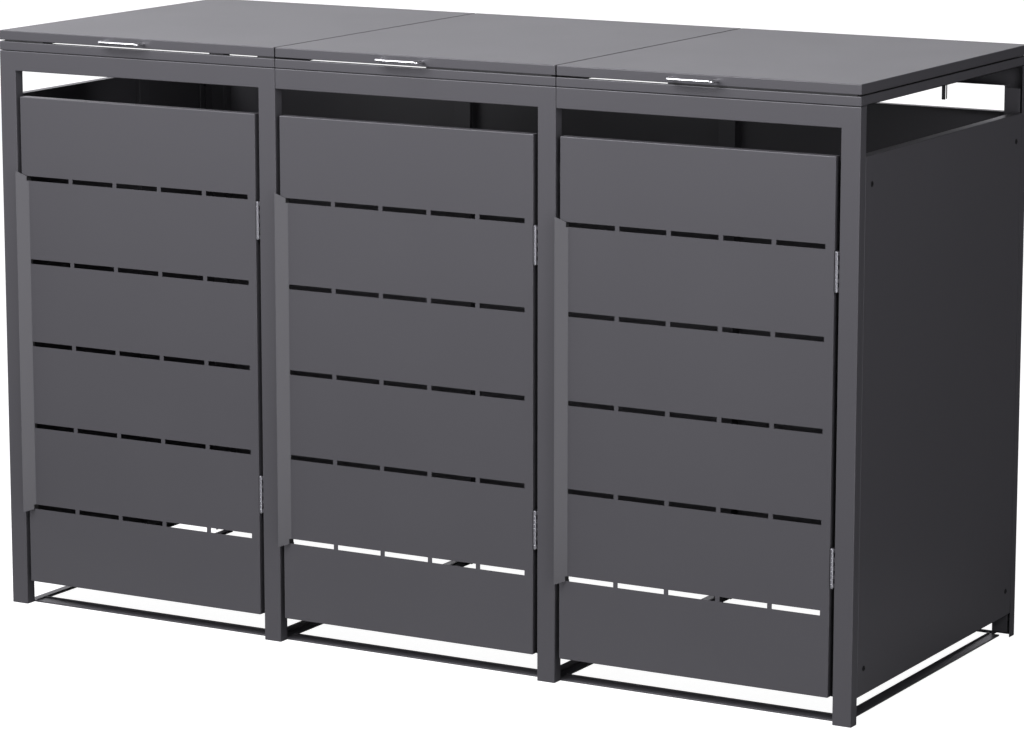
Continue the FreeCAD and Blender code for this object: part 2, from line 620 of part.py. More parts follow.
# ---------------------------------------------------------------------------
# Lids: folded trays, open below, with an inward lip round the lower edge.
# ---------------------------------------------------------------------------
lid_leaf_group = {}
lid_frame_leaves, lid_pins = [], []
for k, side in enumerate(BAYS):
    lo, hi = bay_lo(k, "lid_gap"), bay_hi(k, "lid_gap")
    w = "(%s) - (%s)" % (hi, lo)
    n = "lid_" + side
    keep(cut(n, box(n + "_outer", lo, "0", "lid_bottom", w, "store_d", "lid_top - lid_bottom"),
             [box(n + "_hollow", lo + " + sheet", "sheet", "lid_bottom + sheet", w + " - 2*sheet",
                  "store_d - 2*sheet", "lid_top - lid_bottom - 2*sheet"),
              box(n + "_mouth", lo + " + lid_lip", "lid_lip", "lid_bottom - 1", w + " - 2*lid_lip",
                  "store_d - 2*lid_lip", "sheet + 3")]))
    # bow handle of round rod
    n = "lid_handle_" + side
    hx = "((%s) + (%s))/2 - handle_side" % (lo, hi)
    xl, xr = hx + " - handle_len/2", hx + " + handle_len/2"
    straight = "handle_out - handle_bend"
    parts = [
        rod(n + "_bar", "x", xl + " + handle_bend", "-handle_out", "handle_z", "handle_r",
            "handle_len - 2*handle_bend"),
        rod(n + "_leg_l", "y", xl, "-(%s)" % straight, "handle_z", "handle_r", straight),
        rod(n + "_leg_r", "y", xr, "-(%s)" % straight, "handle_z", "handle_r", straight)]
    for tag, cx, ang in (("l", xl + " + handle_bend", 180), ("r", xr + " - handle_bend", 270)):
        t = doc.addObject("Part::Torus", n + "_bend_" + tag)
        t.Label = n + "_bend_" + tag
        t.setExpression("Radius1", ex("handle_bend"))
        t.setExpression("Radius2", ex("handle_r"))
        t.Angle3 = 90
        t.Placement = FreeCAD.Placement(V(0, 0, 0), FreeCAD.Rotation(V(0, 0, 1), ang))
        place(t, cx, "-(%s)" % straight, "handle_z")
        parts.append(t)
    keep(fuse(n, parts))
    # two hinges on the back edge
    leaves = []
    for tag, mid in (("a", "(%s) + lid_hinge_in" % lo), ("b", "(%s) - lid_hinge_in" % hi)):
        x0 = mid + " - hinge_len/2"
        for who in ("frame", "lid"):
            m = "%s_back_leaf_%s_%s" % (who, side, tag)
            if who == "frame":
                z0, zh, slots, bore = "lid_hinge_z - 30", "29", ODD, "hinge_pin"
                rz = "lid_hinge_z - 2.2"
            else:
                z0, zh, slots, bore = "lid_hinge_z + 2.2", "17", EVEN, "hinge_bore"
                rz = "lid_hinge_z + 0.6"
            parts = [box(m + "_flat", x0, "store_d", z0, "hinge_len", "hinge_leaf", zh)]
            for s in slots:
                xs = "%s + %d*%s + 0.2" % (x0, s, PITCH)
                parts.append(rod("%s_knuckle%d" % (m, s), "x", xs, "lid_hinge_y", "lid_hinge_z", "hinge_knuckle",
                                 PITCH + " - 0.4"))
                parts.append(box("%s_root%d" % (m, s), xs, "store_d", rz, PITCH + " - 0.4",
                                 "lid_hinge_y - store_d", "1.6" if who == "frame" else "1.9"))
            leaf = cut(m, fuse(m + "_solid", parts),
                       [rod(m + "_bore", "x", x0 + " - 1", "lid_hinge_y", "lid_hinge_z", bore, "hinge_len + 2")])
            (lid_frame_leaves if who == "frame" else leaves).append(leaf)
        lid_pins.append(rod("lid_pin_%s_%s" % (side, tag), "x", x0 + " + 0.2", "lid_hinge_y", "lid_hinge_z",
                            "hinge_pin", "hinge_len - 0.4"))
    keep(group("lid_hinge_leaves_" + side, leaves))
keep(group("back_hinge_leaves", lid_frame_leaves))
keep(group("lid_hinge_pins", lid_pins))

# ---------------------------------------------------------------------------
# Rubber rests on the front rails' lips, under the lids' front lips.
# ---------------------------------------------------------------------------
rests = []
REST = {0: [("14", "112"), ("648", "688")], 1: [("1046", "1330")], 2: [("1584", "1982")]}
for k in range(3):
    for i, (a, b) in enumerate(REST[k]):
        rests.append(box("lid_rest_%d%s" % (k, "ab"[i]), a, "0.8", "rail_top", "%s - %s" % (b, a), "rest_w", "rest_h"))
keep(group("lid_rests", rests))

# ---------------------------------------------------------------------------
# Strap hooks: a small plate under the rail at each bay's right-hand end with a
# flat tongue and a wire hanging from it.
# ---------------------------------------------------------------------------
hooks = []
for k in range(3):
    n = "strap_hook_%d" % k
    x = "%d*bay_pitch + 12" % (k + 1) if k < 2 else "store_w - 33"
    top = "rail_bottom + sheet" if k < 2 else "rail_bottom + sheet"
    hooks.append(fuse(n, [
        box(n + "_base", x, "hook_y - 5", top + " - 2.5", "14", "26", "2.5"),
        box(n + "_tongue", x + " + 3", "hook_y", top + " - hook_h", "7", "2.5", "hook_h - 1"),
        rod(n + "_wire", "z", x + " + 7", "hook_y + 15", top + " - hook_h", "1.2", "hook_h - 1")]))
keep(group("strap_hooks", hooks))

doc.recompute()

# ---------------------------------------------------------------------------
# Every object computed, every piece a valid solid, then one file per piece.
# ---------------------------------------------------------------------------
bad = [o.Label for o in doc.Objects if "Invalid" in o.State or "Error" in o.State]
for o in made:
    s = o.Shape
    if s.isNull() or not s.isValid() or not s.Solids:
        bad.append(o.Label + " (shape)")
if bad:
    raise SystemExit("not computed: " + ", ".join(bad))
labels = [o.Label for o in made]
if len(set(labels)) != len(labels):
    raise SystemExit("a label is used twice")

os.makedirs("parts", exist_ok=True)
for o in made:
    o.Shape.exportStep("parts/%s.step" % o.Label)
total = FreeCAD.BoundBox()
for o in made:
    total.add(o.Shape.BoundBox)
    b = o.Shape.BoundBox
    print("%-26s solids %2d  volume %10.0f  x %.1f..%.1f y %.1f..%.1f z %.1f..%.1f" % (
        o.Label, len(o.Shape.Solids), o.Shape.Volume, b.XMin, b.XMax, b.YMin, b.YMax, b.ZMin, b.ZMax))
print("%d pieces, box %.1f x %.1f x %.1f" % (len(made), total.XLength, total.YLength, total.ZLength))
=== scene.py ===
import json
import math
import random

import bmesh
import bpy
from mathutils import Matrix, Vector


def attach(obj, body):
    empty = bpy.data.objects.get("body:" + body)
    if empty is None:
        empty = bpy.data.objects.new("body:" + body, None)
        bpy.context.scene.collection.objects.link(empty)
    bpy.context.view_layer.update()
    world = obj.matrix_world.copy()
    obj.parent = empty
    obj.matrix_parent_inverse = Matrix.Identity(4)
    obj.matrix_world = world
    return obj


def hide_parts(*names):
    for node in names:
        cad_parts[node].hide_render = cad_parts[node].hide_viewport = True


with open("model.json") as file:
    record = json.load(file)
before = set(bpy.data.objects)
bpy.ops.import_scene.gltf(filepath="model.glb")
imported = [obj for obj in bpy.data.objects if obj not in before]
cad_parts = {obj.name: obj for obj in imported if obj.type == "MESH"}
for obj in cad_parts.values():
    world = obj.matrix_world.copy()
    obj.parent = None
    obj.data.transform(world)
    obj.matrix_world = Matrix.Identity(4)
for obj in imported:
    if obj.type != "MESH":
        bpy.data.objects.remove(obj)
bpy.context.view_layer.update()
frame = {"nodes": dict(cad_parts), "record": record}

SCENE = bpy.context.scene
SCENE.view_settings.view_transform = "Standard"
SCENE.view_settings.look = "None"

# Millimetres from the store's lower left front corner to metres in the frame.
X_OFF, Y_OFF = -995.0, -394.3
BAYS = ("left", "middle", "right")
POSTS = ("left", "mid_left", "mid_right", "right")
PITCH, POST_W, POST_D, STORE_W, STORE_D = 650.0, 40.0, 25.0, 1990.0, 810.0
SHEET = 1.5


def at(x, y, z):
    return Vector(((x + X_OFF) / 1000.0, (y + Y_OFF) / 1000.0, z / 1000.0))


# ---------------------------------------------------------------------------
# Camera
# ---------------------------------------------------------------------------
cam_data = bpy.data.cameras.new("camera")
cam_data.lens = 138.1
cam_data.sensor_width = 36.0
cam_data.clip_end = 500.0
camera = bpy.data.objects.new("camera", cam_data)
camera.location = (4.0306, -7.0265, 2.0883)
camera.rotation_euler = (math.radians(79.22), 0.0, math.radians(29.701))
SCENE.collection.objects.link(camera)
SCENE.camera = camera


# ---------------------------------------------------------------------------
# Materials
# ---------------------------------------------------------------------------
class Mat:
    """A node material with a Principled shader and short calls for its nodes."""

    def __init__(self, name):
        self.mat = bpy.data.materials.new(name)
        self.mat.use_nodes = True
        self.tree = self.mat.node_tree
        self.tree.nodes.clear()
        self.out = self.node("ShaderNodeOutputMaterial")
        self.bsdf = self.node("ShaderNodeBsdfPrincipled")
        self.tree.links.new(self.bsdf.outputs[0], self.out.inputs[0])
        self.coord = self.node("ShaderNodeTexCoord").outputs["Object"]

    def node(self, kind, **settings):
        n = self.tree.nodes.new(kind)
        for key, value in settings.items():
            setattr(n, key, value)
        return n

    def link(self, a, b):
        self.tree.links.new(a, b)

    def scaled(self, xyz, source=None):
        n = self.node("ShaderNodeMapping")
        n.inputs["Scale"].default_value = xyz
        self.link(source or self.coord, n.inputs["Vector"])
        return n.outputs[0]

    def noise(self, scale, detail=2.0, rough=0.5, source=None, distortion=0.0):
        n = self.node("ShaderNodeTexNoise")
        n.inputs["Scale"].default_value = scale
        n.inputs["Detail"].default_value = detail
        n.inputs["Roughness"].default_value = rough
        n.inputs["Distortion"].default_value = distortion
        self.link(source or self.coord, n.inputs["Vector"])
        return n.outputs[0]

    def voronoi(self, scale, feature="F1", source=None):
        n = self.node("ShaderNodeTexVoronoi", feature=feature)
        n.inputs["Scale"].default_value = scale
        self.link(source or self.coord, n.inputs["Vector"])
        return n.outputs["Distance"]

    def span(self, source, a, b, lo, hi, clamp=True):
        n = self.node("ShaderNodeMapRange", clamp=clamp)
        for i, v in ((1, a), (2, b), (3, lo), (4, hi)):
            n.inputs[i].default_value = v
        self.link(source, n.inputs[0])
        return n.outputs[0]

    def math(self, op, a, b, c=None):
        n = self.node("ShaderNodeMath", operation=op)
        for i, v in enumerate((a, b, c)):
            if v is None:
                continue
            if isinstance(v, (int, float)):
                n.inputs[i].default_value = v
            else:
                self.link(v, n.inputs[i])
        return n.outputs[0]

    def ramp(self, source, stops):
        n = self.node("ShaderNodeValToRGB")
        els = n.color_ramp.elements
        while len(els) > len(stops):
            els.remove(els[-1])
        while len(els) < len(stops):
            els.new(1.0)
        for e, (pos, col) in zip(els, stops):
            e.position = pos
            e.color = (*col, 1.0)
        self.link(source, n.inputs[0])
        return n.outputs[0]

    def bump(self, height, strength, distance, normal=None):
        n = self.node("ShaderNodeBump")
        n.inputs["Strength"].default_value = strength
        n.inputs["Distance"].default_value = distance
        self.link(height, n.inputs["Height"])
        if normal is not None:
            self.link(normal, n.inputs["Normal"])
        return n.outputs[0]

    def put(self, **sockets):
        names = {"color": "Base Color", "rough": "Roughness", "metal": "Metallic", "normal": "Normal",
                 "ior": "IOR", "coat": "Coat Weight", "coat_rough": "Coat Roughness",
                 "specular": "Specular IOR Level", "aniso": "Anisotropic"}
        for key, value in sockets.items():
            s = self.bsdf.inputs[names[key]]
            if isinstance(value, bpy.types.NodeSocket):
                self.link(value, s)
            elif key == "color":
                s.default_value = (*value, 1.0)
            else:
                s.default_value = value
        return self.mat


def powder_coat(name, dark, light, rough=0.44, specular=0.5):
    """Satin powder coat: a fine orange-peel skin, pigment grain and faint clouds."""
    m = Mat(name)
    clouds = m.noise(2.6, 3.0, 0.55)
    grain = m.noise(2300.0, 2.0, 0.6)
    fleck = m.voronoi(900.0)
    tone = m.math("MULTIPLY_ADD", clouds, 0.62, m.math("MULTIPLY", grain, 0.38))
    color = m.ramp(tone, [(0.30, dark), (0.72, light)])
    haze = m.span(m.noise(5.0, 3.0, 0.5), 0.3, 0.7, rough - 0.007, rough + 0.008)
    fine = m.span(grain, 0.35, 0.65, -0.03, 0.03)
    peel = m.noise(420.0, 2.5, 0.45)
    first = m.bump(peel, 0.30, 0.00006)
    second = m.bump(fleck, 0.22, 0.00003, first)
    return m.put(color=color, rough=m.math("ADD", haze, fine), normal=second, metal=0.0, specular=specular, ior=1.5)


def brushed(name, color_a, color_b, axis, rough=0.24, deep=0.00002):
    """Brushed or drawn steel with streaks along one axis."""
    m = Mat(name)
    fast, slow = 2600.0, 26.0
    scale = {"x": (slow, fast, fast), "y": (fast, slow, fast), "z": (fast, fast, slow)}[axis]
    streak = m.noise(1.0, 3.0, 0.65, m.scaled(scale))
    broad = m.noise(1.0, 2.0, 0.5, m.scaled(tuple(s * 0.12 for s in scale)))
    tone = m.math("MULTIPLY_ADD", streak, 0.7, m.math("MULTIPLY", broad, 0.3))
    color = m.ramp(tone, [(0.32, color_a), (0.68, color_b)])
    r = m.span(streak, 0.3, 0.7, rough - 0.07, rough + 0.09)
    return m.put(color=color, rough=r, normal=m.bump(tone, 0.35, deep), metal=1.0)


def zinc(name):
    m = Mat(name)
    cells = m.voronoi(700.0)
    color = m.ramp(cells, [(0.1, (0.46, 0.47, 0.48)), (0.8, (0.66, 0.66, 0.65))])
    return m.put(color=color, rough=m.span(m.noise(900.0), 0.3, 0.7, 0.26, 0.46), metal=1.0,
                 normal=m.bump(cells, 0.2, 0.00002))


def black_oxide(name):
    m = Mat(name)
    n = m.noise(1500.0, 3.0, 0.6)
    color = m.ramp(n, [(0.3, (0.0035, 0.0035, 0.0038)), (0.7, (0.0075, 0.0075, 0.0082))])
    return m.put(color=color, rough=m.span(n, 0.3, 0.7, 0.42, 0.60), normal=m.bump(n, 0.25, 0.00002), metal=0.0,
                 specular=0.25)


def rubber(name):
    m = Mat(name)
    n = m.noise(800.0, 4.0, 0.6)
    big = m.noise(60.0, 2.0, 0.5)
    color = m.ramp(big, [(0.3, (0.006, 0.006, 0.006)), (0.7, (0.013, 0.013, 0.013))])
    return m.put(color=color, rough=m.span(n, 0.3, 0.7, 0.62, 0.86), normal=m.bump(n, 0.5, 0.00008), specular=0.3)


def magnet(name):
    m = Mat(name)
    n = m.noise(1200.0, 4.0, 0.6)
    color = m.ramp(n, [(0.3, (0.035, 0.034, 0.036)), (0.7, (0.075, 0.072, 0.075))])
    return m.put(color=color, rough=m.span(n, 0.3, 0.7, 0.5, 0.7), normal=m.bump(n, 0.4, 0.00005))


COAT = powder_coat("powder_coat", (0.0462, 0.0452, 0.0490), (0.0486, 0.0476, 0.0514))
HANDLE_STEEL = brushed("handle_steel", (0.62, 0.62, 0.63), (0.84, 0.84, 0.85), "x", 0.22)
HINGE_STEEL_Z = brushed("hinge_steel", (0.22, 0.22, 0.235), (0.36, 0.36, 0.375), "x", 0.44)
DARK_BOLT = black_oxide("dark_bolts")
ZINC = zinc("zinc_bolts")
HOOK = powder_coat("hook_steel", (0.020, 0.020, 0.022), (0.030, 0.030, 0.032), 0.5)
MAGNET = magnet("magnet")
# black rubber finish, also used as painted shade on the rail strips, stop angles and door stays
RUBBER_AND_SHADE = rubber("rubber")
BY_SLOT = {"powder_coat": COAT, "handle_steel": HANDLE_STEEL, "hinge_steel": HINGE_STEEL_Z, "dark_bolts": DARK_BOLT,
           "zinc_bolts": ZINC, "hook_steel": HOOK, "magnet": MAGNET, "rubber": RUBBER_AND_SHADE}


# ---------------------------------------------------------------------------
# Folded sheet
# ---------------------------------------------------------------------------
class Skin:
    """The outer faces of one folded sheet, in millimetres."""

    def __init__(self):
        self.faces = []

    def add(self, points, outward):
        pts = [Vector(p) for p in points]
        n = Vector((0, 0, 0))
        for i in range(len(pts)):
            a, b = pts[i] - pts[0], pts[(i + 1) % len(pts)] - pts[0]
            n += a.cross(b)
        if n.dot(Vector(outward)) < 0:
            pts.reverse()
        self.faces.append(pts)

    def bmesh(self):
        bm = bmesh.new()
        seen = {}
        for pts in self.faces:
            vs = []
            for p in pts:
                key = tuple(round(c, 3) for c in p)
                if key not in seen:
                    seen[key] = bm.verts.new(p)
                vs.append(seen[key])
            bm.faces.new(vs)
        bm.normal_update()
        return bm


def tray(skin, us, vs, full, ret, to3):
    """Adds a face made of the full cells of a grid, and the returns and lips along its free edges. ret gives the depth
    of a return and the width of the lip at its end for one side of a cell."""
    def vec(du, dv, dw):
        return to3(du, dv, dw) - to3(0, 0, 0)

    sides = {"L": (-1, 0), "R": (1, 0), "B": (0, -1), "T": (0, 1)}
    found = []
    nu, nv = len(us) - 1, len(vs) - 1
    for i in range(nu):
        for j in range(nv):
            if not full(i, j):
                continue
            u0, u1, v0, v1 = us[i], us[i + 1], vs[j], vs[j + 1]
            skin.add([to3(u0, v0, 0), to3(u1, v0, 0), to3(u1, v1, 0), to3(u0, v1, 0)], vec(0, 0, -1))
            ends = {"L": ((u0, v0), (u0, v1)), "R": ((u1, v0), (u1, v1)), "B": ((u0, v0), (u1, v0)),
                    "T": ((u0, v1), (u1, v1))}
            for s, (du, dv) in sides.items():
                a, b = i + du, j + dv
                if 0 <= a < nu and 0 <= b < nv and full(a, b):
                    continue
                depth, lip = ret(s, i, j)
                if depth > 0:
                    found.append((s, ends[s], depth, lip))
    breaks = sorted({0.0} | {f[2] for f in found})
    inset = {}
    for s, ends, depth, lip in found:
        if lip > 0:
            for p in ends:
                inset.setdefault(p, set()).add((-sides[s][0] * lip, -sides[s][1] * lip))
    for s, (p, q), depth, lip in found:
        out = vec(sides[s][0], sides[s][1], 0)
        for w0, w1 in zip(breaks, breaks[1:]):
            if w1 <= depth + 1e-6:
                skin.add([to3(*p, w0), to3(*q, w0), to3(*q, w1), to3(*p, w1)], out)
        if lip > 0:
            pi = (p[0] + sum(d[0] for d in inset[p]), p[1] + sum(d[1] for d in inset[p]))
            qi = (q[0] + sum(d[0] for d in inset[q]), q[1] + sum(d[1] for d in inset[q]))
            skin.add([to3(*p, depth), to3(*q, depth), to3(*qi, depth), to3(*pi, depth)], vec(0, 0, 1))


def evaluated(me, mods):
    """The mesh after a list of (kind, settings) modifiers."""
    ob = bpy.data.objects.new("work", me)
    SCENE.collection.objects.link(ob)
    for kind, settings in mods:
        m = ob.modifiers.new(kind.lower(), kind)
        for key, value in settings.items():
            setattr(m, key, value)
    dg = bpy.context.evaluated_depsgraph_get()
    dg.update()
    done = bpy.data.meshes.new_from_object(ob.evaluated_get(dg), preserve_all_data_layers=True, depsgraph=dg)
    bpy.data.objects.remove(ob)
    bpy.data.meshes.remove(me)
    return done


def to_piece(name, me, mat, body, stands_for=(), local=True):
    """Links a mesh in millimetres as a piece in the frame, riding on a body."""
    if local:
        me.transform(Matrix.Translation(Vector((X_OFF, Y_OFF, 0)) / 1000.0) @ Matrix.Scale(0.001, 4))
    me.name = name
    me.materials.clear()
    me.materials.append(mat)
    ob = bpy.data.objects.new(name, me)
    SCENE.collection.objects.link(ob)
    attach(ob, body)
    if stands_for:
        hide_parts(*stands_for)
    return ob


def folded(name, skin, body, stands_for=(), radius=2.0, thickness=SHEET, edge=0.22, segments=4, mat=None):
    """A sheet of real thickness from its outer skin, every fold with a radius and every cut edge broken."""
    bm = skin.bmesh()
    folds = [e for e in bm.edges if len(e.link_faces) == 2 and e.calc_face_angle(0.0) > math.radians(8)]
    bmesh.ops.bevel(bm, geom=folds, offset=radius, offset_type="OFFSET", segments=segments, profile=0.5,
                    affect="EDGES", clamp_overlap=False, loop_slide=True, material=-1)
    bmesh.ops.remove_doubles(bm, verts=bm.verts, dist=0.0005)
    for f in bm.faces:
        f.smooth = True
    me = bpy.data.meshes.new(name)
    bm.to_mesh(me)
    bm.free()
    mods = [("SOLIDIFY", dict(thickness=thickness, offset=-1.0, use_even_offset=True, use_quality_normals=True)),
            ("BEVEL", dict(width=edge, segments=2, limit_method="ANGLE", angle_limit=math.radians(50),
                           use_clamp_overlap=True)),
            ("WEIGHTED_NORMAL", dict(mode="FACE_AREA", weight=50, keep_sharp=True))]
    return to_piece(name, evaluated(me, mods), mat or COAT, body, stands_for)


FRONT = lambda u, v, w: Vector((u, w, v))
BACK = lambda u, v, w: Vector((u, STORE_D - w, v))
LEFT = lambda u, v, w: Vector((w, u, v))
RIGHT = lambda u, v, w: Vector((STORE_W - w, u, v))
LID_TOP = lambda u, v, w: Vector((u, v, 1238.0 - w))


def bay_lo(k, gap):
    return 0.0 if k == 0 else k * PITCH + POST_W + gap / 2


def bay_hi(k, gap):
    return (k + 1) * PITCH + POST_W - (0 if k == 2 else gap / 2)


# Post and header of one bay are welded and ground flush, so their faces run
# through; the next bay's header butts against the post with a narrow joint.
for k, side in enumerate(BAYS):
    lo, hi = bay_lo(k, 1.5), (k + 1) * PITCH + POST_W
    inner = (k + 1) * PITCH
    us = [lo, POST_W, inner, hi] if k == 0 else [lo, inner, hi]
    vs = [0.0, 1154.0, 1195.5]
    last = len(us) - 2

    def full(i, j, k=k, last=last):
        return j == 1 or i == last or (k == 0 and i == 0)

    def ret(s, i, j):
        return (0.0, 0.0) if s == "B" and j == 0 else (POST_D, 0.0)

    for end, to3 in (("front", FRONT), ("back", BACK)):
        skin = Skin()
        tray(skin, us, vs, full, ret, to3)
        names = ["%s_header_%s" % (end, side), "%s_post_%s" % (end, POSTS[k + 1])]
        if k == 0:
            names.append("%s_post_left" % end)
        folded("%s_portal_%s" % (end, side), skin, "frame", names, radius=1.65)

# Rails that the lids close on.
for k, side in enumerate(BAYS):
    lo, hi = bay_lo(k, 1.5), bay_hi(k, 1.5)
    for end, to3 in (("front", FRONT), ("back", BACK)):
        skin = Skin()
        tray(skin, [lo, hi], [1196.5, 1215.0], lambda i, j: True,
             lambda s, i, j: (POST_D if s == "B" else 8.0, 0.0), to3)
        folded("%s_rail_%s" % (end, side), skin, "frame", ["%s_top_rail_%s" % (end, side)], radius=1.55)
for side, to3 in (("left", LEFT), ("right", RIGHT)):
    skin = Skin()
    tray(skin, [9.0, 25.5, 784.5, 801.0], [1196.5, 1198.2, 1215.0], lambda i, j: j == 1 or i == 1,
         lambda s, i, j: ((25.0 if s == "B" else 24.0) if s in "BT" else 0.0, 0.0), to3)
    folded("side_rail_%s" % side, skin, "frame", ["side_top_rail_%s" % side], radius=1.55)

# Thin black strips on the rails' upper lips, under the lids: painted shade for the lids' shadow on the lips.
bm = bmesh.new()


def flat_strip(bm, x0, x1, y0, y1, z0, z1):
    """A low strip with broken upper edges."""
    c = min(0.15, (z1 - z0) * 0.4)

    def ring(d, z):
        return [Vector((x, y, z)) for x, y in ((x0 + d, y0 + d), (x1 - d, y0 + d), (x1 - d, y1 - d), (x0 + d, y1 - d))]

    rows = [[bm.verts.new(p) for p in ring(d, z)] for d, z in ((0.0, z0), (0.0, z1 - c), (c, z1))]
    for a, b in zip(rows, rows[1:]):
        for i in range(4):
            bm.faces.new((a[i], a[(i + 1) % 4], b[(i + 1) % 4], b[i]))
    bm.faces.new(list(reversed(rows[0])))
    bm.faces.new(rows[-1])


for k in range(3):
    lo, hi = bay_lo(k, 1.5), bay_hi(k, 1.5)
    flat_strip(bm, lo + 3.0, hi - 3.0, 1.9, 7.6, 1214.9, 1215.4)
    flat_strip(bm, lo + 3.0, hi - 3.0, STORE_D - 7.6, STORE_D - 1.9, 1214.9, 1215.4)
for x0, x1 in ((1.9, 8.0), (STORE_W - 8.0, STORE_W - 1.9)):
    flat_strip(bm, x0, x1, 9.5, STORE_D - 9.5, 1214.9, 1215.4)
bmesh.ops.recalc_face_normals(bm, faces=bm.faces)
me = bpy.data.meshes.new("rail_shade_strips")
bm.to_mesh(me)
bm.free()
to_piece("rail_shade_strips", me, RUBBER_AND_SHADE, "frame")

# Stop angles on the hinge side of each opening, behind the door's return; they are black as painted shade, darkening
# the gap between door and post.
for k, side in enumerate(BAYS):
    x = (k + 1) * PITCH
    skin = Skin()
    skin.add([(x - 26.0, 21.6, 50.0), (x - 0.1, 21.6, 50.0), (x - 0.1, 21.6, 1090.0), (x - 26.0, 21.6, 1090.0)],
             (0, -1, 0))
    skin.add([(x - 0.1, 21.6, 50.0), (x - 0.1, 34.0, 50.0), (x - 0.1, 34.0, 1090.0), (x - 0.1, 21.6, 1090.0)],
             (1, 0, 0))
    folded("shade_stop_angle_%s" % side, skin, "frame", radius=1.6, mat=RUBBER_AND_SHADE)

# Flat covers close the back posts towards the inside.
for k, post in enumerate(POSTS):
    x0, x1 = k * PITCH + (5.2 if k == 0 else 0.4), k * PITCH + (34.8 if k == 3 else 39.6)
    skin = Skin()
    skin.add([(x0, STORE_D - POST_D - 1.6, 10.0), (x1, STORE_D - POST_D - 1.6, 10.0),
              (x1, STORE_D - POST_D - 1.6, 1150.0), (x0, STORE_D - POST_D - 1.6, 1150.0)], (0, -1, 0))
    folded("back_post_cover_%s" % post, skin, "frame", edge=0.4)

# Side panels: folded edges all round, deep at top and bottom.
for side, to3 in (("left", LEFT), ("right", RIGHT)):
    skin = Skin()
    tray(skin, [25.6, 784.4], [52.0, 1100.0], lambda i, j: True,
         lambda s, i, j: (20.0 if s in "BT" else 3.2, 0.0), to3)
    folded("side_sheet_%s" % side, skin, "frame", ["side_panel_%s" % side], radius=1.6)

# Back panels.
for k, side in enumerate(BAYS):
    lo, hi = k * PITCH + POST_W + 0.1, (k + 1) * PITCH - 0.1
    skin = Skin()
    tray(skin, [lo, hi], [52.0, 1100.0], lambda i, j: True, lambda s, i, j: (20.0, 0.0), BACK)
    folded("back_sheet_%s" % side, skin, "frame", ["back_panel_%s" % side], radius=1.7)

